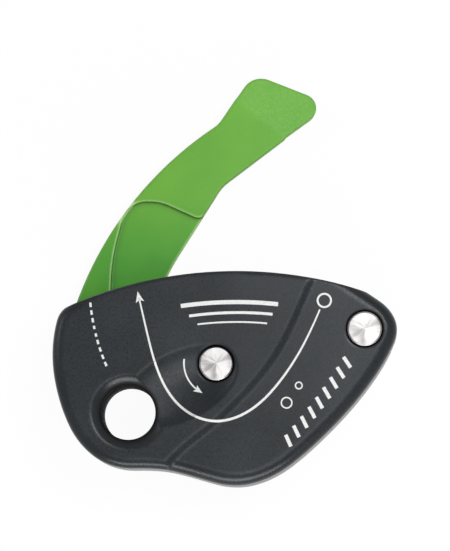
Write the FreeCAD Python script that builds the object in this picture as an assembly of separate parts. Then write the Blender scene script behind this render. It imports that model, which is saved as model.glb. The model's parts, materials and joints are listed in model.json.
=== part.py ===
import FreeCAD, Part
import math
import os

from FreeCAD import Matrix, Vector

# Assisted braking belay device, lying on its back.
# Origin on the axis of the connector eye, in the plane that the back rests on.
# X runs to the swing pivot, Y to the lever, Z out of the front cover. Millimetres.

UP = Vector(0, 0, 1)
overrun = 2.0
seat = 0.02
running = 0.05

# body outline, as shares of its length and height measured from the eye
body_length = 124.0
body_height = 77.2
body_shares = [
    (-0.208, 0.431), (-0.220, 0.315), (-0.194, 0.026), (-0.140, -0.142), (-0.047, -0.247),
    (0.081, -0.263), (0.194, -0.301), (0.308, -0.340), (0.412, -0.301), (0.533, -0.161),
    (0.690, 0.110), (0.763, 0.296), (0.780, 0.391), (0.754, 0.487), (0.707, 0.546),
    (0.586, 0.665), (0.310, 0.739), (0.005, 0.683), (-0.154, 0.529)]
top_radius = 150.4
top_rise = 50.9
crown_share = 0.312
crease_shares = [
    (0.545, 0.700), (0.518, 0.609), (0.425, 0.294), (0.312, 0.069), (0.225, -0.060),
    (0.159, -0.145), (0.098, -0.242), (0.050, -0.330)]
beyond_shares = [(-0.320, -0.330), (-0.320, 0.900), (0.545, 0.900)]

# places of the axes, as shares of the same length and height
axle_share = (0.2555, 0.2280)
pivot_share = (0.6863, 0.3885)
hinge_share = (-0.1058, 0.3777)

# levels, from the back forwards
lever_lift = 4.0
lever_thick = 4.4
lever_washer_thick = 0.4
web_thick = 4.2
channel_depth = 11.4
liner_thick = 1.0
hollow_depth = 3.2
skin_thick = 3.2
pad_rise = 1.0
parting_gap = 0.4
parting_share = 0.47

lever_front = lever_lift + lever_thick
web_back = lever_front + lever_washer_thick
web_front = web_back + web_thick
cover_back = web_front + channel_depth
liner_front = cover_back + liner_thick
skin_back = liner_front + hollow_depth
skin_front = skin_back + skin_thick
pad_front = skin_front + pad_rise
parting = web_front + channel_depth * parting_share

# side plates
rim_wall = 2.6
lobe_round = 4.8
pad_round = 3.7
crease_slope = 2.6
top_round = 1.1
back_round = 1.4
back_inset = 0.5
bay_gap = 0.9
rib_thick = 2.0
rib_drop = 3.0
rib_pitch = 13.5

# connector eye
eye_radius = 9.8
eye_wall = 3.0
eye_sink = 3.4
eye_sink_depth = 2.6
eye_sink_round = 1.6

# hollow in the cover round the button
scoop_length = 52.0
scoop_width = 29.0
scoop_height = 10.4
scoop_depth = 2.6
scoop_turn = 27.0
scoop_tilt = 6.0
scoop_share = (0.143, 0.140)

# swing pivot of the cover
pivot_radius = 4.0
pivot_head_radius = 6.15
pivot_head_thick = 2.4
pivot_head_proud = 0.7
pivot_head_gap = 0.45
pivot_bush_wall = 1.5
pivot_boss_radius = 8.2
pivot_washer_thick = 0.5
pivot_washer_wall = 3.0
pivot_cup_wall = 2.4
pivot_nut_radius = 5.6
pivot_nut_thick = 1.8
cover_open = 95.0
track_sweep = 40.0
stop_radius = 1.5
stop_orbit = 10.75
stop_lead = 103.5
stop_short = 1.2

# main axle and its slotted nose
axle_radius = 6.0
axle_nose_radius = 5.6
axle_nose_rise = 1.9
axle_foot_radius = 4.0
axle_boss_radius = 7.2
axle_boss_drop = 2.0
axle_screw_radius = 2.2
axle_screw_head = 5.4
axle_screw_thick = 1.6
axle_screw_length = 9.0
axle_shoulder_drop = 0.3
nose_slot_depth = 2.2
nose_gap = 0.5

# lock button
button_radius = 6.1
button_thick = 1.6
button_edge = 0.5
button_gap = 0.5
button_travel = 2.0
button_below = 0.2
stem_radius = 2.4
guide_wall = 1.7
guide_floor = 1.6
guide_clear = 0.3
ring_radius = 3.4
ring_thick = 0.5
ring_groove = 0.5
ring_pocket = 0.8
ring_gap = 0.1
ring_split = 1.6
spring_wire = 0.5
spring_radius = 4.0
spring_turns = 2
spring_clear = 0.1

# cam
cam_base = 13.6
cam_lift = 11.0
cam_nose_angle = 132.0
cam_rise_span = 88.0
cam_fall_span = 70.0
cam_points = 36
cam_flange = 1.8
cam_flange_thick = 1.2
cam_groove_side = 2.2
cam_gap = 0.3
cam_bush_wall = 1.5
cam_window_radius = 2.6
cam_window_orbit = 13.5
cam_window_angles = [105.0, 160.0]
cam_washer_wall = 3.0
cam_washer_thick = 0.45
circlip_wall = 1.7
circlip_thick = 0.8
circlip_groove = 0.5
circlip_sink = 0.2
circlip_gap = 0.3
circlip_split = 3.0
circlip_turn = 60.0

# drive between the lever and the cam
drive_arm = 12.5
drive_radius = 2.0
drive_wall = 2.2
drive_gap = 0.25
lever_fold = -48.0
lever_pull = 25.0
slot_gap = 0.4
cam_ratio = 0.34
drive_steps = 16
arm_thick = 1.8
arm_gap = 0.2
arm_run = 0.05
arm_side_gap = 0.5
arm_hub_radius = 11.0
arm_nut_gap = 1.8
arm_half_width = 4.6
arm_rivet_radius = 1.5
arm_rivet_orbit = 9.3
arm_rivet_angles = [-80.0, 20.0]
arm_rivet_depth = 4.0

# fixed brake block
block_shares = [(-0.066, 0.450), (-0.002, 0.400), (0.043, 0.578), (-0.045, 0.550)]
block_round = 2.0
block_gap = 0.3
block_screw_shares = [(-0.032, 0.515), (0.016, 0.525)]
screw_radius = 1.6
screw_head_radius = 2.8
screw_head_thick = 1.5
screw_grip = 6.0

# lever, as shares of the reach from its hinge to its tip
lever_reach = 116.5
sweep_end_share = (0.3668, 0.6470)
flare_run_share = 0.024
flare_round_share = 0.090
lever_shares = [
    (0.4860, 0.8080, 0.065), (0.7300, 0.7150, 0.045), (0.3979, 0.4637, 0.120), (0.2330, 0.2030, 0.550)]
lever_outer_radius = 130.0
lever_hub_radius = 11.1
blade_sink_share = 0.90
lever_edge_round = 0.8
crease_line_shares = ((0.4449, 0.7269), (0.5890, 0.6110))
tip_bend = 12.0
tip_bend_radius = 6.0
bay_line_shares = [(0.20, 0.33), (0.42, 0.60), (0.60, 0.74)]
bay_side_angle = 150.0
pocket_shares = [
    (0.047, 0.130, 0.0), (0.052, 0.240, 0.60), (0.1000, 0.4180, 0.080), (0.2037, 0.4180, 0.15),
    (0.3250, 0.3630, 0.030), (0.420, 0.420, 0.020), (0.300, 0.130, 0.0)]
pocket_depth = 1.5
pocket_root = 0.7

# lever hinge
hinge_radius = 3.5
hinge_bush_wall = 1.5
hinge_head_radius = 5.4
hinge_head_thick = 1.2
hinge_head_gap = 0.3
hinge_nut_radius = 4.6
hinge_nut_thick = 1.6

# liner
liner_gap = 0.25
rivet_radius = 1.2
rivet_head_radius = 2.1
rivet_head_thick = 0.5
rivet_post_radius = 3.2
rivet_depth = 2.6
rivet_shares = [(-0.155, 0.060), (0.560, 0.080), (0.300, -0.230)]

os.makedirs("parts", exist_ok=True)


def place(share):
    return Vector(share[0] * body_length, share[1] * body_height, 0)


EYE = Vector(0, 0, 0)
AXLE = place(axle_share)
PIVOT = place(pivot_share)
HINGE = place(hinge_share)

# levels and reaches that follow from the named ones
cam_back = web_front + cam_gap
cam_front = cover_back - cam_gap
arm_front = web_front - arm_gap
arm_back = arm_front - arm_thick
pocket_floor = arm_back - arm_run - cam_washer_thick
nose_top = cover_back + axle_nose_rise
nose_floor = nose_top - nose_slot_depth
guide_back = nose_top + guide_clear
chamber_floor = guide_back + guide_floor
button_front = pad_front - button_below
button_back = button_front - button_thick
pivot_head_back = skin_front + pivot_head_proud - pivot_head_thick
pivot_seat = pivot_head_back - running
slot_half = ring_radius + nose_gap
arm_tip_radius = (AXLE - HINGE).Length - hinge_nut_radius - arm_nut_gap


def at(centre, z):
    return Vector(centre.x, centre.y, z)


def disc(centre, radius, low, high):
    return Part.makeCylinder(radius, high - low, at(centre, low))


def tube(centre, inner, outer, low, high):
    return disc(centre, outer, low, high).cut(disc(centre, inner, low - overrun, high + overrun))


def polar(centre, radius, degrees):
    turn = math.radians(degrees)
    return Vector(centre.x + radius * math.cos(turn), centre.y + radius * math.sin(turn), 0)


def heading(start, end):
    line = end - start
    return math.degrees(math.atan2(line.y, line.x))


def slab(wire, low, high):
    face = Part.Face(wire)
    face.translate(Vector(0, 0, low))
    return face.extrude(Vector(0, 0, high - low))


def closed(points):
    return Part.makePolygon(points + points[:1])


def bar(start, end, width, low, high):
    along = (end - start).normalize()
    side = Vector(-along.y, along.x, 0) * (width / 2)
    return slab(closed([start + side, start - side, end - side, end + side]), low, high)


def turned(shape, centre, degrees):
    copy = shape.copy()
    copy.rotate(centre, UP, degrees)
    return copy


def arc_band(centre, orbit, half_width, first, last, low, high):
    """Slot of even width that follows a circle, with round ends."""
    middle = (first + last) / 2
    outer = Part.Arc(*[polar(centre, orbit + half_width, a) for a in (first, middle, last)]).toShape()
    inner = Part.Arc(*[polar(centre, orbit - half_width, a) for a in (last, middle, first)]).toShape()
    ends = [Part.makeLine(outer.Vertexes[-1].Point, inner.Vertexes[0].Point),
            Part.makeLine(inner.Vertexes[-1].Point, outer.Vertexes[0].Point)]
    band = slab(Part.Wire([outer, ends[0], inner, ends[1]]), low, high)
    caps = [disc(polar(centre, orbit, a), half_width, low, high) for a in (first, last)]
    return band.fuse(caps)


def biggest(shape):
    return max(shape.Solids, key=lambda solid: solid.Volume)


def keep(name, shape):
    body = shape.removeSplitter()
    if body.Solids:
        body = biggest(body)
    body.exportStep("parts/" + name + ".step")
    print(name, "solids", len(shape.Solids), "volume", round(body.Volume, 1), "valid", body.isValid())
    return body


def level_edges(shape, z):
    return [e for e in shape.Edges if abs(e.BoundBox.ZMin - z) < seat and abs(e.BoundBox.ZMax - z) < seat]


def corner_arc(before, point, after, radius):
    """Start, middle and end of the arc that rounds one corner."""
    back = (before - point).normalize()
    on = (after - point).normalize()
    half = back.getAngle(on) / 2
    reach = radius / math.tan(half)
    middle = point + (back + on).normalize() * (radius / math.sin(half) - radius)
    return point + back * reach, middle, point + on * reach


def rounded_path(points, radii):
    """Open run of lines and tangent arcs through points, square at both ends."""
    edges = []
    start = points[0]
    for i in range(1, len(points) - 1):
        arc = corner_arc(points[i - 1], points[i], points[i + 1], radii[i])
        if (arc[0] - start).Length > seat:
            edges.append(Part.makeLine(start, arc[0]))
        edges.append(Part.Arc(*arc).toShape())
        start = arc[2]
    edges.append(Part.makeLine(start, points[-1]))
    return edges


def rounded_wire(points, radius):
    middle = (points[0] + points[-1]) * 0.5
    run = [middle] + points + [middle]
    return Part.Wire(rounded_path(run, [0] + [radius] * len(points) + [0]))


def biarc(start, first, end, last):
    """Two arcs that leave start along first and reach end along last."""
    chord = end - start
    total = first + last
    bend = 2 * (1 - first.dot(last))
    dot = chord.dot(total)
    reach = (math.sqrt(dot * dot + bend * chord.dot(chord)) - dot) / bend
    one, two = start + first * reach, end - last * reach
    joint = (one + two) * 0.5
    arcs = [corner_arc_by_reach(start, one, joint), corner_arc_by_reach(joint, two, end)]
    return [Part.Arc(*arc).toShape() for arc in arcs]


def corner_arc_by_reach(start, corner, end):
    back, on = (start - corner).normalize(), (end - corner).normalize()
    half = back.getAngle(on) / 2
    radius = (start - corner).Length * math.tan(half)
    return start, corner + (back + on).normalize() * (radius / math.sin(half) - radius), end


def arc_chain(points):
    """Closed wire of tangent arcs, two between each pair of points."""
    curve = Part.BSplineCurve()
    curve.interpolate(points, PeriodicFlag=True)
    slopes = [curve.tangent(curve.parameter(p))[0] for p in points]
    edges = []
    for i in range(len(points)):
        j = (i + 1) % len(points)
        edges += biarc(points[i], slopes[i], points[j], slopes[j])
    return Part.Wire(edges)


def body_wire():
    return arc_chain([place(share) for share in body_shares])


def inset(wire, amount):
    return wire.makeOffset2D(-amount)


def crown_disc(drop, low, high):
    centre = Vector(crown_share * body_length, top_rise - top_radius, 0)
    return disc(centre, top_radius - drop, low, high)


def inside(margin, low, high):
    """The plate's outline drawn in by a margin, under the top edge too."""
    return slab(inset(OUTLINE, margin), low, high).common(crown_disc(margin, low - overrun, high + overrun))


def rounded_blank(low, high, radius, z):
    blank = slab(OUTLINE, low, high)
    return blank.makeFillet(radius, level_edges(blank, z))


OUTLINE = body_wire()


def lever_point(share):
    return HINGE + Vector(share[0], share[1], 0) * lever_reach


drive_angle = heading(HINGE, AXLE)
drive_point = polar(HINGE, drive_arm, drive_angle)
lobe_radius = drive_radius + drive_wall


def sweep_centre(top):
    """Middle of the outer sweep, which starts just inside the hub's round and ends at top."""
    line = top - HINGE
    near, far = lever_outer_radius - lever_hub_radius * blade_sink_share, lever_outer_radius
    along = (near ** 2 - far ** 2 + line.Length ** 2) / (line.Length * 2)
    aside = math.sqrt(near ** 2 - along ** 2)
    line.normalize()
    return HINGE + line * along + Vector(line.y, -line.x, 0) * aside


def lever_flat(round_edges=False):
    """Blade between the long outer sweep and the inner sweep, with its hub and pin lobe."""
    top = lever_point(sweep_end_share)
    centre = sweep_centre(top)
    corners = [lever_point(share) for share in lever_shares]
    outward = (top - centre).normalize()
    flare = top + Vector(outward.y, -outward.x, 0) * (flare_run_share * lever_reach)
    root = centre + (HINGE - centre).normalize() * lever_outer_radius
    middle = centre + (top + root - centre * 2).normalize() * lever_outer_radius
    last = (corners[-1] - drive_point).normalize()
    foot = drive_point + Vector(last.y, -last.x, 0) * (lobe_radius * blade_sink_share)
    radii = [share[2] * lever_reach for share in lever_shares]
    inner = rounded_path([top, flare] + corners + [foot],
                         [0, flare_round_share * lever_reach] + radii + [0])
    edges = [Part.Arc(root, middle, top).toShape()] + inner
    edges += [Part.makeLine(foot, HINGE), Part.makeLine(HINGE, root)]
    blade = slab(Part.Wire(edges), lever_lift, lever_front)
    hub = disc(HINGE, lever_hub_radius, lever_lift, lever_front)
    lobe = disc(drive_point, lobe_radius, lever_lift, lever_front)
    if round_edges:
        blade, hub, lobe = [piece.makeFillet(lever_edge_round, free_edges(piece))
                            for piece in (blade, hub, lobe)]
    return blade.fuse([hub, lobe]).removeSplitter()


def free_edges(shape):
    """Edges of both flat sides that don't run to the hinge axis."""
    edges = level_edges(shape, lever_lift) + level_edges(shape, lever_front)
    return [e for e in edges if min(at(v.Point, 0).distanceToPoint(HINGE) for v in e.Vertexes) > seat]


def lever_pocket():
    points = [lever_point(share) for share in pocket_shares]
    radii = [share[2] * lever_reach for share in pocket_shares]
    path = rounded_path(points, radii)
    path.append(Part.makeLine(points[-1], points[0]))
    floor = lever_front - pocket_depth
    block = slab(Part.Wire(path), floor, lever_front + overrun)
    return block.makeFillet(pocket_root, level_edges(block, floor))


def lever_shape():
    flat = lever_flat(True).cut(lever_pocket())
    flat = bent_tip(flat)
    flat = flat.cut(disc(HINGE, hinge_radius + hinge_bush_wall + seat, lever_lift - overrun,
                         lever_front + overrun))
    flat = flat.cut(disc(HINGE, hinge_head_radius + hinge_head_gap, lever_lift - overrun, head_seat))
    return flat.cut(disc(drive_point, drive_radius + seat, lever_lift - overrun, lever_front + overrun))


def bent_tip(flat):
    """Turns the tip backwards about an axis behind the blade, with a round bend between."""
    start, end = [lever_point(share) for share in crease_line_shares]
    along = (end - start).normalize()
    across = Vector(-along.y, along.x, 0)
    wide = lever_reach
    half = slab(closed([start - along * wide, end + along * wide, end + along * wide + across * wide,
                        start - along * wide + across * wide]), lever_lift - wide, lever_front + wide)
    tip = flat.common(half)
    blade = flat.cut(half)
    axis_point = at(start, lever_lift - tip_bend_radius)
    section = min(blade.Faces, key=lambda f: max(abs((v.Point - start).dot(across)) for v in f.Vertexes))
    bend = section.revolve(axis_point, along, -tip_bend)
    tip.rotate(axis_point, along, -tip_bend)
    return blade.fuse([bend, tip])


def bay(extra, low, high):
    """Folded lever, everything above it, and the path of its pin lobe."""
    sole = [f for f in lever_flat().Faces if f.BoundBox.ZMax < lever_lift + seat][0]
    grown = sole.makeOffset2D(bay_gap + extra)
    grown.translate(Vector(0, 0, low - lever_lift))
    solid = grown.extrude(Vector(0, 0, high - low))
    folded, pulled = turned(solid, HINGE, lever_fold), turned(solid, HINGE, lever_pull)
    line = [turned_point(lever_point(share), lever_fold) for share in bay_line_shares]
    far = body_length
    sky = [HINGE] + line + [Vector(far, line[-1].y, 0), Vector(far, far, 0), Vector(-far, far, 0),
                            polar(HINGE, far, bay_side_angle)]
    band = arc_band(HINGE, drive_arm, lobe_radius + bay_gap + extra, drive_angle + lever_fold,
                    drive_angle + lever_pull, low, high)
    return folded.fuse([pulled, slab(closed(sky), low, high), band])


def turned_point(point, degrees):
    line = point - HINGE
    turn = math.radians(degrees)
    return HINGE + Vector(line.x * math.cos(turn) - line.y * math.sin(turn),
                          line.x * math.sin(turn) + line.y * math.cos(turn), 0)


cam_locked = -cam_ratio * lever_fold
cam_free = -cam_ratio * lever_pull


def arm_pocket(low, high):
    reach = arm_tip_radius + arm_side_gap
    width = (arm_half_width + arm_side_gap) * 2
    start, end = drive_heading + cam_free, drive_heading + cam_locked
    tips = [polar(AXLE, reach, a) for a in (start, (start + end) / 2, end)]
    fan = Part.Wire([Part.makeLine(AXLE, tips[0]), Part.Arc(*tips).toShape(), Part.makeLine(tips[2], AXLE)])
    sides = [bar(AXLE, tips[i], width, low, high) for i in (0, 2)]
    round_part = disc(AXLE, reach, low, high)
    solid = slab(fan, low, high).fuse(sides).common(round_part)
    return solid.fuse(disc(AXLE, arm_hub_radius + arm_side_gap, low, high))


drive_heading = heading(AXLE, HINGE)


def drive_path():
    """Places of the lever's pin as the turning cam sees it, at a constant ratio."""
    places = []
    for i in range(drive_steps + 1):
        swing = lever_fold + (lever_pull - lever_fold) * i / drive_steps
        pin = polar(HINGE, drive_arm, drive_angle + swing)
        line = pin - AXLE
        places.append(polar(AXLE, line.Length, heading(AXLE, pin) + cam_ratio * swing))
    return places


def drive_slot(low, high):
    """Straight fork, wide enough for every place of the pin."""
    line = [(p - AXLE, heading(AXLE, p) - drive_heading) for p in drive_path()]
    sides = [v.Length * math.sin(math.radians(a)) for v, a in line]
    width = max(sides) - min(sides) + (drive_radius + drive_gap) * 2
    middle = (max(sides) + min(sides)) / 2
    play = width / 2 - drive_radius - drive_gap
    near = min(v.Length * math.cos(math.radians(a)) + math.sqrt(max(play ** 2 - (s - middle) ** 2, 0))
               for (v, a), s in zip(line, sides))
    across = polar(EYE, middle, drive_heading + 90.0)
    start = polar(AXLE, near, drive_heading) + across
    end = polar(AXLE, arm_tip_radius + width, drive_heading) + across
    return bar(start, end, width, low, high).fuse(disc(start, width / 2, low, high))


def cam_arm():
    hub = disc(AXLE, arm_hub_radius, arm_back, arm_front)
    tip = polar(AXLE, arm_tip_radius, drive_heading)
    tail = bar(AXLE, tip, arm_half_width * 2, arm_back, arm_front)
    tail = tail.common(disc(AXLE, arm_tip_radius, arm_back, arm_front))
    arm = hub.fuse(tail).cut(drive_slot(arm_back - overrun, arm_front + overrun))
    arm = arm.cut(disc(AXLE, axle_radius + running + cam_bush_wall + seat, arm_back - overrun,
                       arm_front + overrun))
    return arm.cut([disc(polar(AXLE, arm_rivet_orbit, a), arm_rivet_radius + seat, arm_back - overrun,
                         arm_front + overrun) for a in arm_rivet_angles])


def cam_wire(grow):
    points = []
    for i in range(cam_points):
        angle = 360.0 * i / cam_points
        gap = math.remainder(angle - cam_nose_angle, 360)
        span = cam_fall_span if gap > 0 else cam_rise_span
        share = (1 + math.cos(math.pi * gap / span)) / 2 if abs(gap) < span else 0
        points.append(polar(AXLE, cam_base + grow + cam_lift * share, angle))
    curve = Part.BSplineCurve()
    curve.interpolate(points, PeriodicFlag=True)
    return Part.Wire([curve.toShape()])


def flange(low, high, inner):
    """Flange plate with a slanted groove side that narrows towards inner."""
    plate = slab(cam_wire(cam_flange), low, high)
    wide, narrow = cam_wire(cam_flange), cam_wire(0)
    wide.translate(Vector(0, 0, high if inner > high else low))
    narrow.translate(Vector(0, 0, inner))
    return plate.fuse(Part.makeLoft([wide, narrow], True, True))


def cam():
    core = slab(cam_wire(0), cam_back, cam_front)
    back = flange(cam_back, cam_back + cam_flange_thick, cam_back + cam_flange_thick + cam_groove_side)
    front = flange(cam_front - cam_flange_thick, cam_front, cam_front - cam_flange_thick - cam_groove_side)
    body = core.fuse([back, front, disc(AXLE, arm_hub_radius, arm_front, cam_back)])
    cuts = [disc(AXLE, axle_radius + running + cam_bush_wall + seat, arm_front - overrun,
                 cam_front + overrun),
            disc(AXLE, axle_radius + circlip_wall + circlip_gap, bush_front, cam_front + overrun)]
    cuts += [disc(polar(AXLE, cam_window_orbit, a), cam_window_radius, cam_back - overrun,
                  cam_front + overrun) for a in cam_window_angles]
    cuts += [disc(polar(AXLE, arm_rivet_orbit, a), arm_rivet_radius + seat, arm_front - overrun,
                  arm_front + arm_rivet_depth + seat) for a in arm_rivet_angles]
    return body.cut(cuts)


bush_front = cam_front - circlip_sink - circlip_thick - running


def rear_hollow():
    """Open space behind the web, with the bosses and ribs left standing in it."""
    hollow = inside(back_inset + rim_wall, -overrun, web_back).cut(bay(rim_wall, -overrun, web_back))
    bosses = [disc(EYE, eye_radius + eye_wall, -overrun, web_back),
              disc(AXLE, axle_boss_radius, -overrun, web_back)]
    return hollow.cut(bosses + ribs())


def ribs():
    """Row of stiffening ribs, evenly spaced along the body on both sides of the eye."""
    lean = Vector(0, body_length, 0)
    count = math.ceil(body_length / rib_pitch)
    feet = [Vector((i + 1 / 2) * rib_pitch, 0, 0) for i in range(-count, count)]
    return [bar(foot - lean, foot + lean, rib_thick, rib_drop, web_back) for foot in feet]


def rear_blank():
    blank = rounded_blank(0, parting - parting_gap / 2, back_round, 0)
    return blank.common(crown_disc(back_inset, -overrun, cover_back))


def rear_plate():
    plate = rear_blank()
    plate = plate.cut(slab(inset(OUTLINE, rim_wall), web_front, cover_back))
    plate = plate.cut(bay(0, -overrun, web_back))
    plate = plate.cut(rear_hollow())
    plate = plate.fuse(disc(PIVOT, pivot_boss_radius, web_front,
                            cover_back - pivot_washer_thick - running * 2))
    cuts = [arm_pocket(pocket_floor, cover_back), disc(EYE, eye_radius, -overrun, cover_back),
            arc_band(HINGE, drive_arm, drive_radius + slot_gap, drive_angle + lever_fold,
                     drive_angle + lever_pull, web_back - overrun, web_front),
            disc(PIVOT, pivot_radius + seat, -overrun, cover_back),
            disc(PIVOT, pivot_nut_radius + seat, -overrun, web_back + pivot_nut_thick),
            disc(AXLE, axle_foot_radius + seat, -overrun, web_front),
            disc(AXLE, axle_boss_radius + seat, -overrun, axle_boss_drop),
            disc(HINGE, hinge_radius + seat, web_back - overrun, web_front + overrun),
            disc(HINGE, hinge_nut_radius + seat, web_front - hinge_nut_thick, web_front + overrun),
            disc(STOP, stop_radius + seat, web_back + stop_short, web_front + overrun)]
    for share in block_screw_shares:
        cuts.append(disc(place(share), screw_radius + seat, web_back - overrun, web_front + overrun))
        cuts.append(disc(place(share), screw_head_radius + seat, web_back - overrun,
                         web_back + screw_head_thick))
    for tool in cuts:
        plate = plate.cut(tool)
    return plate


STOP = polar(PIVOT, stop_orbit, stop_lead + cover_open)


def pad_block():
    """Everything on the eye's side of the crease, with a slope down to the lower side."""
    top = Part.BSplineCurve()
    top.interpolate([place(share) for share in crease_shares])
    foot = Part.BSplineCurve()
    foot.interpolate([slope_foot(top, place(share)) for share in crease_shares])
    crease = foot.toShape()
    far = [place(share) for share in beyond_shares]
    ends = [foot.EndPoint] + far + [foot.StartPoint]
    wire = Part.Wire([crease] + [Part.makeLine(a, b) for a, b in zip(ends, ends[1:])])
    block = slab(wire, skin_back, pad_front)
    edge = [max(level_edges(block, pad_front), key=lambda e: crease_match(e, crease))]
    return block.makeChamfer(pad_rise, crease_slope, edge)


def slope_foot(curve, point):
    along = curve.tangent(curve.parameter(point))[0]
    return point + Vector(-along.y, along.x, 0) * crease_slope


def crease_match(edge, crease):
    return -abs(edge.Length - crease.Length)


def cover_blank():
    low = parting + parting_gap / 2
    right = rounded_blank(low, skin_front, lobe_round, skin_front)
    left = rounded_blank(low, pad_front, pad_round, pad_front).common(pad_block())
    crown = crown_disc(0, low - overrun, pad_front)
    crown = crown.makeFillet(top_round, level_edges(crown, pad_front))
    return right.fuse(left).common(crown)


def scoop():
    """Shallow oval hollow that runs from the button towards the eye, steeper on its upper side."""
    ball = Part.makeSphere(1)
    stretch = Matrix()
    stretch.scale(Vector(scoop_length / 2, scoop_width / 2, scoop_height / 2))
    oval = ball.transformGeometry(stretch)
    oval.rotate(EYE, Vector(1, 0, 0), scoop_tilt)
    oval.rotate(EYE, UP, scoop_turn)
    oval.translate(at(place(scoop_share), pad_front - scoop_depth + scoop_height / 2))
    return oval


def eye_dish():
    """Flared rim of the eye, whose outer edge runs smoothly into the front."""
    low = Vector(eye_radius, 0, pad_front - eye_sink_depth)
    high = Vector(eye_radius + eye_sink, 0, pad_front)
    slope = math.degrees(math.atan2(eye_sink_depth, eye_sink))
    reach = eye_sink_round * math.tan(math.radians(slope) / 2)
    back = low - high
    start = high + back.normalize() * reach
    end = high + Vector(reach, 0, 0)
    centre = end - Vector(0, 0, eye_sink_round)
    middle = centre + ((start - centre) + (end - centre)).normalize() * eye_sink_round
    top = Vector(end.x, 0, pad_front + overrun)
    axis_low, axis_high = Vector(0, 0, low.z), Vector(0, 0, top.z)
    edges = [Part.makeLine(axis_low, low), Part.makeLine(low, start),
             Part.Arc(start, middle, end).toShape(), Part.makeLine(end, top),
             Part.makeLine(top, axis_high), Part.makeLine(axis_high, axis_low)]
    return Part.Face(Part.Wire(edges)).revolve(EYE, UP, 360)


def cover_hollow():
    hollow = inside(rim_wall, cover_back, skin_back)
    posts = [disc(place(share), rivet_post_radius, liner_front, skin_back) for share in rivet_shares]
    posts += [disc(EYE, eye_radius + eye_wall, cover_back, skin_back),
              disc(PIVOT, bush_outer + pivot_cup_wall, cover_back, skin_back),
              disc(AXLE, button_radius + button_gap + guide_wall, guide_back, skin_back)]
    return hollow.cut(posts).removeSplitter()


def nose_track(half_width, low, high):
    """Way out for the axle's nose as the cover swings away."""
    start = heading(PIVOT, AXLE)
    return arc_band(PIVOT, (AXLE - PIVOT).Length, half_width, start - track_sweep, start, low, high)


def front_cover():
    cover = cover_blank()
    cover = cover.cut(slab(inset(OUTLINE, rim_wall), parting, cover_back))
    cover = cover.cut(cover_hollow()).removeSplitter()
    cuts = [nose_track(axle_nose_radius + nose_gap, cover_back - overrun, guide_back), scoop(),
            disc(EYE, eye_radius, parting, pad_front + overrun),
            eye_dish(),
            disc(PIVOT, bush_outer + seat, parting, skin_front),
            disc(PIVOT, pivot_head_radius + pivot_head_gap, pivot_seat, pad_front + overrun),
            disc(AXLE, stem_radius + running, guide_back - overrun, pad_front),
            disc(AXLE, ring_radius + pivot_head_gap, guide_back - overrun, guide_back + ring_pocket),
            disc(AXLE, button_radius + button_gap, chamber_floor, pad_front + overrun)]
    for share in rivet_shares:
        cuts.append(disc(place(share), rivet_radius + seat, cover_back, liner_front + rivet_depth))
    return cover.cut(cuts)


bush_outer = pivot_radius + running + pivot_bush_wall


def cover_liner():
    plate = inside(rim_wall + liner_gap, cover_back, liner_front)
    cuts = [disc(EYE, eye_radius + eye_wall + liner_gap, cover_back - overrun, liner_front + overrun),
            disc(PIVOT, bush_outer + pivot_cup_wall + liner_gap, cover_back - overrun,
                 liner_front + overrun),
            nose_track(axle_nose_radius + nose_gap, cover_back - overrun, liner_front + overrun)]
    for share in rivet_shares:
        cuts.append(disc(place(share), rivet_radius + seat, cover_back - overrun, liner_front + overrun))
        cuts.append(disc(place(share), rivet_head_radius + seat, cover_back - overrun,
                         cover_back + rivet_head_thick))
    return plate.cut(cuts)


def liner_rivet(share):
    centre = place(share)
    head = disc(centre, rivet_head_radius, cover_back, cover_back + rivet_head_thick)
    return head.fuse(disc(centre, rivet_radius, cover_back, liner_front + rivet_depth - seat))


def cover_pivot():
    high = pivot_head_back + pivot_head_thick
    head = disc(PIVOT, pivot_head_radius, pivot_head_back, high)
    head = head.makeChamfer(button_edge, level_edges(head, high))
    return head.fuse(disc(PIVOT, pivot_radius, web_back, high - button_edge))


def main_axle():
    shoulder = cover_back - axle_shoulder_drop
    body = disc(AXLE, axle_radius, pocket_floor, shoulder)
    body = body.fuse([disc(AXLE, axle_foot_radius, axle_boss_drop, pocket_floor + seat),
                      disc(AXLE, axle_nose_radius, shoulder - seat, nose_top)])
    out = UP.cross(AXLE - PIVOT).normalize()
    far = AXLE + out * axle_radius * 2
    ring_low = cam_front - circlip_sink - circlip_thick
    ring = tube(AXLE, axle_radius - circlip_groove, axle_radius + overrun, ring_low - running,
                ring_low + circlip_thick)
    deep = nose_floor - button_travel - nose_gap
    return body.cut([bar(AXLE, far, slot_half * 2, nose_floor, nose_top + overrun),
                     disc(AXLE, slot_half, nose_floor, nose_top + overrun),
                     disc(AXLE, stem_radius + nose_gap, deep, nose_top), ring,
                     disc(AXLE, axle_screw_radius + seat, axle_boss_drop - overrun,
                          axle_boss_drop + axle_screw_length)])


def axle_screw():
    head = disc(AXLE, axle_screw_head, axle_boss_drop - axle_screw_thick, axle_boss_drop)
    shank = disc(AXLE, axle_screw_radius, axle_boss_drop - seat, axle_boss_drop + axle_screw_length - seat)
    socket = hex_prism(AXLE, axle_screw_radius, axle_boss_drop - axle_screw_thick - overrun,
                       axle_boss_drop - seat)
    return head.fuse(shank).cut(socket)


def hex_prism(centre, radius, low, high):
    return slab(closed([polar(centre, radius, 60 * i) for i in range(6)]), low, high)


def split_ring(centre, inner, outer, gap, turn, low, high):
    ring = tube(centre, inner, outer, low, high)
    return ring.cut(bar(centre, polar(centre, outer + overrun, turn), gap, low - overrun, high + overrun))


def lever_pin():
    head = disc(HINGE, hinge_head_radius, lever_lift, lever_lift + hinge_head_thick)
    return head.fuse(disc(HINGE, hinge_radius, lever_lift, web_front))


head_seat = lever_lift + hinge_head_thick + running


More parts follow.
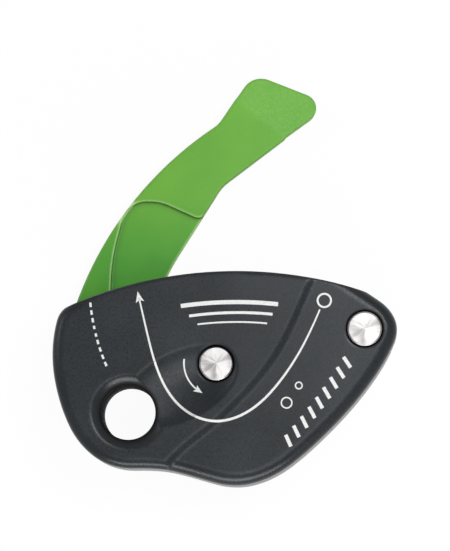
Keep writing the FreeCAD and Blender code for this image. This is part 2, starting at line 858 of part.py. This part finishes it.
def brake_block():
    corners = [place(share) for share in block_shares]
    block = slab(rounded_wire(corners, block_round), web_front, cover_back - block_gap)
    holes = [disc(place(share), screw_radius + seat, web_front - overrun, web_back + screw_grip + web_thick)
             for share in block_screw_shares]
    return block.cut(holes)


def block_screw(share):
    centre = place(share)
    head = disc(centre, screw_head_radius, web_back, web_back + screw_head_thick)
    shank = disc(centre, screw_radius, web_back, web_back + screw_grip + web_thick - seat)
    socket = hex_prism(centre, screw_radius, web_back - overrun, web_back + screw_head_thick / 2)
    return head.fuse(shank).cut(socket)


def drive_pin():
    flush = lever_lift + lever_edge_round
    return disc(drive_point, drive_radius, flush, arm_front)


def lock_button():
    head = disc(AXLE, button_radius, button_back, button_front)
    head = head.makeChamfer(button_edge, level_edges(head, button_front))
    stem = disc(AXLE, stem_radius, nose_floor + button_below, button_back + seat)
    low = guide_back + ring_pocket - ring_gap - ring_thick
    groove = tube(AXLE, stem_radius - ring_groove, stem_radius + overrun, low, low + ring_thick)
    return head.fuse(stem).cut(groove)


def button_ring():
    low = guide_back + ring_pocket - ring_gap - ring_thick
    return split_ring(AXLE, stem_radius - ring_groove + seat, ring_radius, ring_split, 90, low + seat,
                      low + ring_thick - seat)


def helix_point(turns, low, rise):
    angle = 2 * math.pi * turns
    spot = Vector(spring_radius * math.cos(angle), spring_radius * math.sin(angle), low + rise * turns)
    slope = Vector(-spring_radius * math.sin(angle), spring_radius * math.cos(angle), rise / (2 * math.pi))
    return AXLE + spot, slope.normalize()


def button_spring():
    low = chamber_floor + spring_wire / 2 + spring_clear
    rise = (button_back - chamber_floor - spring_wire - spring_clear * 2) / spring_turns
    edges = []
    steps = spring_turns * 4
    for i in range(steps):
        start, first = helix_point(i / 4, low, rise)
        end, last = helix_point((i + 1) / 4, low, rise)
        edges += biarc(start, first, end, last)
    spot, slope = helix_point(0, low, rise)
    section = Part.Wire([Part.Circle(spot, slope, spring_wire / 2).toShape()])
    print("button spring gap between turns", round(rise - spring_wire, 2))
    return Part.Wire(edges).makePipeShell([section], True, False)


def build_root():
    keep("rear_plate", rear_plate())
    keep("main_axle", main_axle())
    keep("axle_screw", axle_screw())
    keep("cam_washer", tube(AXLE, axle_radius + running, axle_radius + cam_washer_wall, pocket_floor,
                            pocket_floor + cam_washer_thick))
    low = cam_front - circlip_sink - circlip_thick
    keep("cam_circlip", split_ring(AXLE, axle_radius - circlip_groove + seat, axle_radius + circlip_wall,
                                   circlip_split, circlip_turn, low, low + circlip_thick - seat))
    keep("cover_pivot", cover_pivot())
    keep("pivot_nut", tube(PIVOT, pivot_radius + seat, pivot_nut_radius, web_back,
                           web_back + pivot_nut_thick))
    low = cover_back - pivot_washer_thick - running
    keep("pivot_washer", tube(PIVOT, pivot_radius + running, pivot_radius + pivot_washer_wall,
                              low - running, low + pivot_washer_thick - running))
    keep("cover_stop", disc(STOP, stop_radius, web_back + stop_short, cover_back - stop_short))
    keep("lever_pin", lever_pin())
    keep("lever_nut", tube(HINGE, hinge_radius + seat, hinge_nut_radius, web_front - hinge_nut_thick,
                           web_front))
    keep("lever_washer", tube(HINGE, hinge_radius + running, hinge_head_radius, lever_front + seat,
                              web_back))
    keep("brake_block", brake_block())
    for i, share in enumerate(block_screw_shares):
        keep("block_screw_" + str(i + 1), block_screw(share))


def build_cover():
    keep("front_cover", front_cover())
    keep("cover_liner", cover_liner())
    for i, share in enumerate(rivet_shares):
        keep("liner_rivet_" + str(i + 1), liner_rivet(share))
    keep("cover_bush", tube(PIVOT, pivot_radius + running, bush_outer, cover_back, pivot_seat))


def build_button():
    keep("lock_button", lock_button())
    keep("button_ring", button_ring())
    keep("button_spring", button_spring())


def build_cam():
    keep("cam", cam())
    keep("cam_bush", tube(AXLE, axle_radius + running, axle_radius + running + cam_bush_wall, arm_back,
                          bush_front))
    keep("cam_arm", cam_arm())
    for i, angle in enumerate(arm_rivet_angles):
        keep("arm_rivet_" + str(i + 1), disc(polar(AXLE, arm_rivet_orbit, angle), arm_rivet_radius,
                                             arm_back, arm_front + arm_rivet_depth))


def build_lever():
    keep("lever", lever_shape())
    keep("lever_bush", tube(HINGE, hinge_radius + running, hinge_radius + hinge_bush_wall, head_seat,
                            lever_front))
    keep("drive_pin", drive_pin())


build_root()
build_cover()
build_button()
build_cam()
build_lever()
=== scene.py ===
import json
import math

import bpy
from mathutils import Matrix, Vector
from mathutils.bvhtree import BVHTree

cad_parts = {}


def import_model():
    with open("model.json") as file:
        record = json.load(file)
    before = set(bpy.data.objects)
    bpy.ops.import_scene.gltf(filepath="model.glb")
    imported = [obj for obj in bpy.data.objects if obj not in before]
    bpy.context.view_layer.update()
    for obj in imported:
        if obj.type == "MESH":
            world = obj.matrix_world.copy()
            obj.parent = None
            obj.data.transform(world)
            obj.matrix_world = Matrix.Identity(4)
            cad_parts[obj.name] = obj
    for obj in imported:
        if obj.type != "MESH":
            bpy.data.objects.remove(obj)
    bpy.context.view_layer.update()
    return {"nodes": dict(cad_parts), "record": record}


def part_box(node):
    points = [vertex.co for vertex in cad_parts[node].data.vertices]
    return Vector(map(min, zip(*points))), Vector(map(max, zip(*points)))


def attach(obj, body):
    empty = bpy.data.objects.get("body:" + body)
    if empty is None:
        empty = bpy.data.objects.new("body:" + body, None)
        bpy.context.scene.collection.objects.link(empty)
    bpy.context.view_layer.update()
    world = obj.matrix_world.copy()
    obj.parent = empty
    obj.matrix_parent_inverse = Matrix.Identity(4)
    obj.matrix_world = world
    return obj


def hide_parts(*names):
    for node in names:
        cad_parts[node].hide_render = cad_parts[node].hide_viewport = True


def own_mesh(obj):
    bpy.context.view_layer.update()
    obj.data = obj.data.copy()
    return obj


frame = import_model()
nodes = frame["nodes"]

MM = 0.001
bpy.context.scene.view_settings.view_transform = "Standard"

# The point that the camera looks at, how far it stands off the upright, and what it sees from bottom to top.
VIEW_POINT = Vector((34.85, 49.3, 31.0)) * MM
VIEW_TURN, VIEW_TILT = math.radians(1.5), math.radians(3.7)
VIEW_DISTANCE = 2.0
VIEW_HEIGHT = 0.19836
SENSOR = 36

FLOOR_HALF = 6.0
FLOOR_DROP = 0.0002

# Print: how far the film stands out of the cover and reaches into it, and the step of its lines.
INK_OVER, INK_UNDER = 0.00003, 0.00006
INK_STEP = 0.0004
ABOVE_COVER = 0.06


def axis_of(node):
    low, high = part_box(node)
    return Vector(((low[0] + high[0]) / 2, (low[1] + high[1]) / 2, 0))


def width_of(node):
    low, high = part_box(node)
    return high[0] - low[0]


def put(name, data):
    obj = bpy.data.objects.new(name, data)
    bpy.context.scene.collection.objects.link(obj)
    return obj


AXLE, PIVOT, HINGE = axis_of("lock_button"), axis_of("cover_pivot"), axis_of("lever_pin")
EYE, EYE_RADIUS = Vector((0, 0, 0)), 0.0098


def material(name):
    mat = bpy.data.materials.new(name)
    mat.use_nodes = True
    tree = mat.node_tree
    return mat, tree, tree.nodes["Principled BSDF"]


def add(tree, kind, **values):
    node = tree.nodes.new(kind)
    for key, value in values.items():
        setattr(node, key, value)
    return node


def math_node(tree, operation, a, b=None, clamp=False):
    node = add(tree, "ShaderNodeMath", operation=operation, use_clamp=clamp)
    for socket, value in zip(node.inputs, (a, b)):
        if value is None:
            continue
        if isinstance(value, (int, float)):
            socket.default_value = value
        else:
            tree.links.new(value, socket)
    return node.outputs[0]


def weighted(tree, a, b, share):
    """share of a, and the rest of b."""
    return math_node(tree, "ADD", math_node(tree, "MULTIPLY", a, share),
                     math_node(tree, "MULTIPLY", b, 1 - share))


def combined(tree, *values):
    node = add(tree, "ShaderNodeCombineXYZ")
    for value, socket in zip(values, node.inputs):
        tree.links.new(value, socket)
    return node.outputs[0]


def place_vector(tree, centre=(0, 0, 0)):
    coords = add(tree, "ShaderNodeTexCoord").outputs["Object"]
    shift = add(tree, "ShaderNodeVectorMath", operation="SUBTRACT")
    tree.links.new(coords, shift.inputs[0])
    shift.inputs[1].default_value = centre
    return shift.outputs[0]


def round_axis(tree, centre):
    """The place as seen from centre, in three parts, and its distance from the upright axis there."""
    parts = add(tree, "ShaderNodeSeparateXYZ")
    tree.links.new(place_vector(tree, centre), parts.inputs[0])
    reach = add(tree, "ShaderNodeVectorMath", operation="LENGTH")
    tree.links.new(combined(tree, parts.outputs[0], parts.outputs[1]), reach.inputs[0])
    return parts.outputs, reach.outputs["Value"]


def noise(tree, vector, scale, detail=2.0, roughness=0.5):
    node = add(tree, "ShaderNodeTexNoise")
    tree.links.new(vector, node.inputs["Vector"])
    node.inputs["Scale"].default_value = scale
    node.inputs["Detail"].default_value = detail
    node.inputs["Roughness"].default_value = roughness
    return node.outputs["Fac"]


def spread(tree, value, low, high, start=0.0, end=1.0):
    """value, stretched so that start becomes low and end becomes high."""
    node = add(tree, "ShaderNodeMapRange")
    tree.links.new(value, node.inputs["Value"])
    for key, number in (("From Min", start), ("From Max", end), ("To Min", low), ("To Max", high)):
        node.inputs[key].default_value = number
    return node.outputs["Result"]


def blend_colours(tree, value, dark, light):
    node = add(tree, "ShaderNodeMix", data_type="RGBA")
    tree.links.new(value, node.inputs["Factor"])
    node.inputs["A"].default_value = (*dark, 1)
    node.inputs["B"].default_value = (*light, 1)
    return node.outputs["Result"]


def covered(tree, amount, colour, other):
    """The colour, with other over it as far as amount says."""
    mix = add(tree, "ShaderNodeMix", data_type="RGBA")
    tree.links.new(amount, mix.inputs["Factor"])
    tree.links.new(colour, mix.inputs["A"])
    mix.inputs["B"].default_value = (*other, 1)
    return mix.outputs["Result"]


def surface(tree, shader, colour, dullness):
    tree.links.new(colour, shader.inputs["Base Color"])
    tree.links.new(dullness, shader.inputs["Roughness"])


def bump(tree, shader, height, strength, distance, rounded=0.0):
    """rounded: the radius to which edges are softened in the shading."""
    node = add(tree, "ShaderNodeBump")
    node.inputs["Strength"].default_value = strength
    node.inputs["Distance"].default_value = distance
    tree.links.new(height, node.inputs["Height"])
    if rounded:
        edge = add(tree, "ShaderNodeBevel", samples=8)
        edge.inputs["Radius"].default_value = rounded
        tree.links.new(edge.outputs["Normal"], node.inputs["Normal"])
    tree.links.new(node.outputs["Normal"], shader.inputs["Normal"])


def painted_corner_shade(tree, colour, distance, darkest):
    """The colour, with painted shade where walls meet, darker where other surfaces stand close by."""
    near = add(tree, "ShaderNodeAmbientOcclusion", samples=8)
    near.inputs["Distance"].default_value = distance
    mix = add(tree, "ShaderNodeMix", data_type="RGBA", blend_type="MULTIPLY")
    mix.inputs["Factor"].default_value = 1.0
    tree.links.new(colour, mix.inputs["A"])
    level = spread(tree, near.outputs["AO"], darkest, 1.0, start=0.45, end=0.95)
    grey = add(tree, "ShaderNodeCombineColor")
    for socket in grey.inputs:
        tree.links.new(level, socket)
    tree.links.new(grey.outputs[0], mix.inputs["B"])
    return mix.outputs["Result"]


def painted_edge_highlight(tree, colour, distance, highlight_colour, share):
    """The colour, with a painted highlight along outside edges, paler where the edges would catch the light.
    """
    inner = add(tree, "ShaderNodeAmbientOcclusion", samples=8, inside=True)
    inner.inputs["Distance"].default_value = distance
    amount = spread(tree, inner.outputs["AO"], share, 0.0, start=0.45, end=0.85)
    return covered(tree, amount, colour, highlight_colour)


def ring_mask(tree, centre, radius, soft):
    """1 inside radius round an upright axis, 0 outside."""
    reach = round_axis(tree, centre)[1]
    return spread(tree, reach, 1, 0, start=radius - soft, end=radius + soft)


def anodised(name, dark, light, painted_shade_rings=(), rounded=0.0005):
    """Rings given as (centre, radius, softness) round recesses are painted near-black as shade."""
    mat, tree, shader = material(name)
    where = place_vector(tree)
    fine = noise(tree, where, 1300, detail=3.0, roughness=0.7)
    cloud = noise(tree, where, 45)
    speck = noise(tree, where, 1100, detail=1.0)
    mixed = weighted(tree, fine, cloud, 0.55)
    colour = blend_colours(tree, spread(tree, mixed, 0, 1, start=0.3, end=0.7), dark, light)
    dullness = spread(tree, speck, 0.24, 0.36, start=0.3, end=0.7)
    # Painted shade: near-black, without gloss, inside each ring round a recess.
    for centre, radius, soft in painted_shade_rings:
        inside = ring_mask(tree, centre, radius, soft)
        colour = covered(tree, inside, colour, (0.001, 0.001, 0.001))
        dullness = math_node(tree, "MAXIMUM", dullness, inside)
    surface(tree, shader, colour, dullness)
    shader.inputs["Metallic"].default_value = 0.25
    shader.inputs["Specular IOR Level"].default_value = 0.28
    bump(tree, shader, fine, strength=0.35, distance=0.00004, rounded=rounded)
    return mat


def painted(name, dark, light, shade_darkest_y, shade_clear_y):
    """The last two arguments are heights (Y) that bound painted shade: the paint is darkest at the first and
    fades to its full tone at the second.
    """
    mat, tree, shader = material(name)
    where = place_vector(tree)
    cloud = noise(tree, where, 60, detail=3.0)
    peel = noise(tree, where, 900)
    dust = noise(tree, where, 4200)
    mixed = weighted(tree, cloud, dust, 0.6)
    parts = add(tree, "ShaderNodeSeparateXYZ")
    tree.links.new(where, parts.inputs[0])
    # Painted shade: the lever darker towards its root, lighter towards its tip.
    painted_shade_ramp = spread(tree, parts.outputs[1], 0.0, 0.68, start=shade_darkest_y, end=shade_clear_y)
    mottle = math_node(tree, "MULTIPLY", spread(tree, mixed, 0, 1, start=0.35, end=0.65), 0.32)
    colour = blend_colours(tree, math_node(tree, "ADD", mottle, painted_shade_ramp), dark, light)
    # Painted shade in the lever's corners and hollows.
    colour = painted_corner_shade(tree, colour, distance=0.0028, darkest=0.45)
    # Painted highlight along the lever's outside edges.
    colour = painted_edge_highlight(tree, colour, distance=0.0013, highlight_colour=(0.46, 0.70, 0.29), share=0.95)
    surface(tree, shader, colour, spread(tree, peel, 0.38, 0.50, start=0.3, end=0.7))
    shader.inputs["Specular IOR Level"].default_value = 0.35
    bump(tree, shader, peel, strength=0.12, distance=0.00005, rounded=0.0009)
    return mat


def turned(name, centre, dark, light, pitch=0.00016):
    """Steel with the fine rings of a lathe round centre, crossed by painted streaks of reflected light that
    fan out from it.
    """
    mat, tree, shader = material(name)
    parts, radius = round_axis(tree, centre)
    angle = math_node(tree, "ARCTAN2", parts[1], parts[0])
    rings = combined(tree, math_node(tree, "MULTIPLY", radius, 1 / pitch),
                     math_node(tree, "MULTIPLY", angle, 0.35),
                     math_node(tree, "MULTIPLY", parts[2], 1 / pitch))
    marks = noise(tree, rings, 1.0, roughness=0.6)
    # Painted reflection: streaks of light and dark round the axis, in the colour.
    around = combined(tree, math_node(tree, "COSINE", angle), math_node(tree, "SINE", angle),
                      math_node(tree, "MULTIPLY", radius, 90))
    reflection_fans = noise(tree, around, 1.5)
    mixed = weighted(tree, marks, reflection_fans, 0.06)
    colour = blend_colours(tree, spread(tree, mixed, 0, 1, start=0.38, end=0.60), dark, light)
    surface(tree, shader, colour, spread(tree, marks, 0.34, 0.40, start=0.3, end=0.7))
    shader.inputs["Metallic"].default_value = 1.0
    shader.inputs["Anisotropic"].default_value = 0.35
    tangent = add(tree, "ShaderNodeTangent", direction_type="RADIAL", axis="Z")
    tree.links.new(tangent.outputs[0], shader.inputs["Tangent"])
    bump(tree, shader, marks, strength=0.15, distance=0.000002)
    return mat


def brushed(name, dark, light, rough=(0.30, 0.46), stretch=(60, 60, 1400)):
    """stretch: how fine the grain is along each axis."""
    mat, tree, shader = material(name)
    where = place_vector(tree)
    pulled = add(tree, "ShaderNodeVectorMath", operation="MULTIPLY")
    tree.links.new(where, pulled.inputs[0])
    pulled.inputs[1].default_value = stretch
    grain = noise(tree, pulled.outputs[0], 1.0, detail=4.0, roughness=0.65)
    pits = noise(tree, where, 1900)
    colour = blend_colours(tree, spread(tree, grain, 0, 1, start=0.3, end=0.7), dark, light)
    surface(tree, shader, colour, spread(tree, pits, *rough, start=0.3, end=0.7))
    shader.inputs["Metallic"].default_value = 1.0
    bump(tree, shader, math_node(tree, "ADD", grain, pits), strength=0.2, distance=0.00002)
    return mat


def ink(name, colour, dimmed=0.82):
    mat, tree, shader = material(name)
    speck = noise(tree, place_vector(tree), 3000)
    dim = tuple(c * dimmed for c in colour)
    flecked = blend_colours(tree, spread(tree, speck, 0, 1, start=0.35, end=0.6), dim, colour)
    surface(tree, shader, flecked, spread(tree, speck, 0.45, 0.6))
    bump(tree, shader, speck, strength=0.1, distance=0.00002)
    return mat


def head_gap_shade(node, beyond=0.0008, soft=0.0002):
    """The ring of painted shade in the recess round a head."""
    return axis_of(node), width_of(node) / 2 + beyond, soft


plate_colours = (0.002, 0.004, 0.005), (0.017, 0.020, 0.024)
# Painted shade: the eye's wall and the dish round it are darkened, and so are the gaps round the heads.
eye_edge_shade = (EYE, EYE_RADIUS + 0.00012, 0.0002)
eye_dish_shade = (EYE, EYE_RADIUS + 0.0014, 0.0010)
plate = anodised("anodised_plate", *plate_colours, painted_shade_rings=[eye_edge_shade])
front_plate = anodised("anodised_front", *plate_colours, rounded=0.0018,
                       painted_shade_rings=[head_gap_shade("lock_button"), head_gap_shade("cover_pivot"), eye_dish_shade])
green = painted("painted_lever", (0.029, 0.240, 0.004), (0.120, 0.368, 0.023), shade_darkest_y=0.056, shade_clear_y=0.080)
bronze = brushed("bronze_bush", (0.42, 0.27, 0.12), (0.62, 0.43, 0.22))
wire = brushed("spring_steel", (0.42, 0.42, 0.43), (0.62, 0.62, 0.63), stretch=(900, 900, 900))
forged = brushed("forged_steel", (0.34, 0.34, 0.35), (0.52, 0.52, 0.53), rough=(0.34, 0.52))
sheet = brushed("sheet_steel", (0.48, 0.48, 0.49), (0.66, 0.66, 0.67), stretch=(40, 1300, 1300))
button_steel = turned("turned_button", AXLE, (0.18, 0.172, 0.172), (0.39, 0.38, 0.38))
pivot_steel = turned("turned_pivot", PIVOT, (0.19, 0.182, 0.182), (0.34, 0.33, 0.33))
hinge_steel = turned("turned_hinge", HINGE, (0.50, 0.50, 0.50), (0.72, 0.72, 0.72))
plain_steel = brushed("turned_steel", (0.46, 0.46, 0.47), (0.66, 0.66, 0.67), rough=(0.26, 0.40))

finish = {
    "anodised_plate": plate, "painted_lever": green, "bronze_bush": bronze, "spring_steel": wire,
    "forged_steel": forged, "sheet_steel": sheet, "turned_steel": plain_steel}
special = {
    "front_cover": front_plate,
    "lock_button": button_steel, "main_axle": button_steel, "axle_screw": button_steel,
    "cover_pivot": pivot_steel, "pivot_nut": pivot_steel,
    "lever_pin": hinge_steel, "lever_nut": hinge_steel}

for part in frame["record"]["subparts"]:
    obj = nodes[part["node"]]
    mat = special.get(part["node"], finish[part["material_slot"]])
    if obj.data.materials:
        for i in range(len(obj.data.materials)):
            obj.data.materials[i] = mat
    else:
        obj.data.materials.append(mat)


# The button's spring shortens as the button goes down; here it is a copy with a mesh of its own, carried by
# the cover.
spring = put("return_spring", nodes["button_spring"].data.copy())
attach(spring, "cover")
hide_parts("button_spring")
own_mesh(spring)


cover = nodes["front_cover"]
cover_faces = BVHTree.FromPolygons(
    [v.co.copy() for v in cover.data.vertices], [tuple(p.vertices) for p in cover.data.polygons])


def on_cover(x, y):
    """The place on top of the cover at x, y, and the way that it faces."""
    hit, normal, _, _ = cover_faces.ray_cast(Vector((x, y, ABOVE_COVER)), Vector((0, 0, -1)))
    return hit, -normal if normal.z < 0 else normal


def smooth(points):
    """Even steps along a smooth curve. points are its control points, in millimetres."""
    curve = bpy.data.curves.new("path", "CURVE")
    curve.dimensions = "3D"
    spline = curve.splines.new("NURBS")
    spline.points.add(len(points) - 1)
    for p, (x, y) in zip(spline.points, points):
        p.co = (x * MM, y * MM, 0, 1)
    spline.order_u = 4
    spline.use_endpoint_u = True
    spline.resolution_u = 24
    holder = bpy.data.objects.new("path", curve)
    mesh = bpy.data.meshes.new_from_object(holder)
    line = [v.co.copy() for v in mesh.vertices]
    bpy.data.objects.remove(holder)
    bpy.data.curves.remove(curve)
    bpy.data.meshes.remove(mesh)
    return resample(line)


def resample(line):
    total = sum((b - a).length for a, b in zip(line, line[1:]))
    count = max(2, round(total / INK_STEP))
    out, gone, i = [], 0.0, 0
    for k in range(count + 1):
        aim = total * k / count
        while i < len(line) - 2 and gone + (line[i + 1] - line[i]).length < aim:
            gone += (line[i + 1] - line[i]).length
            i += 1
        span = (line[i + 1] - line[i]).length or 1
        out.append(line[i].lerp(line[i + 1], min(1, max(0, (aim - gone) / span))))
    return out


def printed(name, patches):
    """Flat patches, each with its points and faces, laid on the cover as a thin closed film."""
    verts, faces = [], []
    for points, patch in patches:
        base, n = len(verts), len(points)
        places = [on_cover(x, y) for x, y in points]
        verts += [hit + normal * INK_OVER for hit, normal in places]
        verts += [hit - normal * INK_UNDER for hit, normal in places]
        edges = set()
        for f in patch:
            faces.append([base + i for i in f])
            faces.append([base + n + i for i in reversed(f)])
            edges.update(zip(f, f[1:] + f[:1]))
        for a, b in sorted(edges):
            if (b, a) not in edges:
                faces.append([base + b, base + a, base + n + a, base + n + b])
    mesh = bpy.data.meshes.new(name)
    mesh.from_pydata([tuple(v) for v in verts], [], faces)
    mesh.validate()
    mesh.materials.append(white)
    obj = put(name, mesh)
    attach(obj, "cover")


def ribbon(line, width, across=3, closed=False):
    """A strip along line. width is a number or a function of the share of its length, in metres."""
    points, faces = [], []
    n = len(line)
    for i, p in enumerate(line):
        a, b = line[max(0, i - 1)], line[min(n - 1, i + 1)]
        if closed and i in (0, n - 1):
            a, b = line[-2], line[1]
        side = Vector((-(b - a).y, (b - a).x, 0)).normalized()
        w = width(i / (n - 1)) if callable(width) else width
        for k in range(across):
            q = p + side * w * (k / (across - 1) - 0.5)
            points.append((q.x, q.y))
    for i in range(n - 1):
        for k in range(across - 1):
            a = i * across + k
            faces.append([a, a + across, a + across + 1, a + 1])
    return points, faces


def fan(outline, rings=3):
    """A filled convex shape, as rings of quads round its middle."""
    cx = sum(p[0] for p in outline) / len(outline)
    cy = sum(p[1] for p in outline) / len(outline)
    n = len(outline)
    points = [(cx, cy)]
    for r in range(1, rings + 1):
        s = r / rings
        points += [(cx + (x - cx) * s, cy + (y - cy) * s) for x, y in outline]
    faces = [[0, 1 + i, 1 + (i + 1) % n] for i in range(n)]
    for r in range(rings - 1):
        a, b = 1 + r * n, 1 + (r + 1) * n
        faces += [[a + i, b + i, b + (i + 1) % n, a + (i + 1) % n] for i in range(n)]
    return points, faces


def circle(x, y, r, count=48, start=0.0, sweep=2 * math.pi):
    angles = [start + sweep * i / count for i in range(count + 1)]
    return [Vector((x + r * math.cos(angle), y + r * math.sin(angle), 0)) for angle in angles]


def ring(x, y, r, width):
    """A printed ring, in millimetres."""
    return ribbon(circle(x * MM, y * MM, r * MM), width * MM, closed=True)


def arrow_head(start, heading, beyond, length, width, notch=0.78, steps=4):
    """An arrow head whose tip lies beyond start, with its back notched in to a share of its length."""
    ahead = Vector((math.cos(heading), math.sin(heading)))
    aside = Vector((-ahead.y, ahead.x)) * width / 2
    tip = start.xy + ahead * beyond
    shape = [tip, tip - ahead * length + aside, tip - ahead * length * notch, tip - ahead * length - aside]
    outline = []
    for a, b in zip(shape, shape[1:] + shape[:1]):
        outline += [tuple(a.lerp(b, t / steps)) for t in range(steps)]
    return fan(outline)


def dashes(path, count, fill, width):
    """Short lines along a path, each over the share fill of its part."""
    last = len(path) - 1
    ends = [(round(k / count * last), round((k + fill) / count * last)) for k in range(count)]
    return [ribbon(path[a:b + 1], width) for a, b in ends]


def bars(path, count, length, width, lean=0.45):
    """Short slanted lines across a path."""
    out, last = [], len(path) - 1
    for k in range(count):
        i = round((k + 0.5) / count * last)
        along = (path[min(i + 1, last)] - path[i - 1]).normalized()
        across = Vector((-along.y, along.x, 0))
        half = (across + along * lean).normalized() * length / 2
        out.append(ribbon(resample([path[i] - half, path[i] + half]), width))
    return out


white = ink("print_white", (0.66, 0.67, 0.66))


back = Vector((math.tan(VIEW_TURN), -math.tan(VIEW_TILT), 1)).normalized()
side = Vector((0, 1, 0)).cross(back).normalized()
camera = put("camera", bpy.data.cameras.new("camera"))
camera.location = VIEW_POINT + back * VIEW_DISTANCE
camera.rotation_mode = "QUATERNION"
camera.rotation_quaternion = Matrix((side, back.cross(side), back)).transposed().to_quaternion()
camera.data.sensor_fit = "AUTO"
camera.data.sensor_width = SENSOR
camera.data.lens = SENSOR * VIEW_DISTANCE / VIEW_HEIGHT
camera.data.clip_start = 0.01
camera.data.clip_end = 20
bpy.context.scene.camera = camera


def white_rays(tree):
    """1 for the rays of the camera, of gloss and of glass, 0 for all others."""
    path = add(tree, "ShaderNodeLightPath")
    seen = math_node(tree, "ADD", path.outputs["Is Camera Ray"], path.outputs["Is Glossy Ray"])
    return math_node(tree, "ADD", seen, path.outputs["Is Transmission Ray"], clamp=True)


def mixed_shader(tree, amount, first, second):
    mix = add(tree, "ShaderNodeMixShader")
    for value, socket in zip((amount, first, second), mix.inputs):
        tree.links.new(value, socket)
    return mix.outputs[0]


def pale(name, diffuse, glow):
    """White to the camera, gloss and glass, with the object's shadow kept by the diffuse share."""
    mat = bpy.data.materials.new(name)
    mat.use_nodes = True
    tree = mat.node_tree
    tree.nodes.clear()
    out = add(tree, "ShaderNodeOutputMaterial")
    shade = add(tree, "ShaderNodeBsdfDiffuse")
    shade.inputs["Color"].default_value = (diffuse, diffuse, diffuse, 1)
    light = add(tree, "ShaderNodeEmission")
    light.inputs["Color"].default_value = (1, 1, 1, 1)
    light.inputs["Strength"].default_value = 1.0
    top = mixed_shader(tree, math_node(tree, "MULTIPLY", white_rays(tree), glow),
                       shade.outputs[0], light.outputs[0])
    under = add(tree, "ShaderNodeBsdfTransparent")
    facing = add(tree, "ShaderNodeNewGeometry")
    both = mixed_shader(tree, facing.outputs["Backfacing"], top, under.outputs[0])
    tree.links.new(both, out.inputs["Surface"])
    return mat


def floor():
    mesh = bpy.data.meshes.new("floor")
    spots = [(x * FLOOR_HALF, y * FLOOR_HALF, 0) for x, y in ((-1, -1), (1, -1), (1, 1), (-1, 1))]
    mesh.from_pydata(spots, [], [(0, 1, 2, 3)])
    mesh.materials.append(pale("floor_white", 0.86, 0.95))
    obj = put("floor", mesh)
    obj.location.z = -FLOOR_DROP


def world(level):
    """White to the camera and to gloss and glass, level for matt surfaces."""
    scene_world = bpy.data.worlds.new("world")
    bpy.context.scene.world = scene_world
    scene_world.use_nodes = True
    tree = scene_world.node_tree
    sky = tree.nodes["Background"]
    sky.inputs["Color"].default_value = (1, 1, 1, 1)
    raised = math_node(tree, "MULTIPLY", white_rays(tree), 1 - level)
    tree.links.new(math_node(tree, "ADD", raised, level), sky.inputs["Strength"])


def lamp(name, place, target, size, power):
    data = bpy.data.lights.new(name, "AREA")
    data.shape = "RECTANGLE"
    data.size, data.size_y = size
    data.energy = power
    obj = put(name, data)
    obj.location = place
    obj.rotation_mode = "QUATERNION"
    obj.rotation_quaternion = (Vector(target) - Vector(place)).to_track_quat("-Z", "Y")


floor()
world(0.25)
middle = (0.04, 0.04, 0.02)
lamp("key", (0.22, 0.12, 0.45), (0.05, 0.03, 0.02), (0.14, 0.14), 0.8)
lamp("low", (0.13, -0.26, 1.00), middle, (0.35, 0.35), 1.8)
lamp("sheen", (0.067, 0.057, 0.36), (0.067, 0.057, 0.0), (0.08, 0.08), 0.06)
lamp("side", (0.31, 0.50, 0.95), middle, (0.40, 0.40), 2.9)
lamp("left", (-0.85, 0.30, 0.50), middle, (0.4, 0.6), 1.6)
lamp("rim", (0.10, -0.80, 0.28), middle, (0.9, 0.25), 7.5)


rope = smooth([(4, 41), (7, 28), (10, 14), (18, 1), (31, -5), (45, 0), (56, 12), (64, 25), (69, 37)])
rope_start = rope[0] - rope[3]
printed("print_rope", [
    ribbon(rope, lambda t: (0.55 + 0.35 * math.sin(math.pi * t)) * MM),
    arrow_head(rope[0], math.atan2(rope_start.y, rope_start.x), 2.6 * MM, 4.0 * MM, 3.0 * MM)])
printed("print_ring", [ring(70.6, 40.2, 2.4, 0.7)])
turn = circle(AXLE.x, AXLE.y, 11.6 * MM, 40, math.radians(172), math.radians(62))
printed("print_turn", [
    ribbon(turn, 0.55 * MM), arrow_head(turn[-1], math.radians(326), 2.2 * MM, 3.2 * MM, 2.6 * MM)])

STRIPES = [([(19, 38.2), (30, 39.8), (42, 40.1), (54, 38.8)], 1.5),
           ([(22, 34.6), (32, 36.0), (42, 36.2), (52, 35.2)], 1.0),
           ([(25, 31.6), (33, 32.6), (42, 32.7), (50, 31.9)], 0.6)]
for k, (points, width) in enumerate(STRIPES):
    printed("print_stripe_%d" % (k + 1), [ribbon(smooth(points), width * MM)])

side_line = smooth([(-13.6, 39.5), (-12.6, 30), (-10.2, 22), (-7.2, 15.5)])
printed("print_side_dashes", dashes(side_line, 9, 0.55, 0.8 * MM))
lobe_line = smooth([(80, 20), (74, 10), (66, -1), (56, -12)])
printed("print_lobe_bars", bars(lobe_line, 9, 4.6 * MM, 1.3 * MM))
for k, (x, y, radius) in enumerate([(61.4, 9.6, 1.2), (57.0, 3.4, 1.9)]):
    printed("print_size_%d" % (k + 1), [ring(x, y, radius, 0.5)])

bpy.context.view_layer.update()
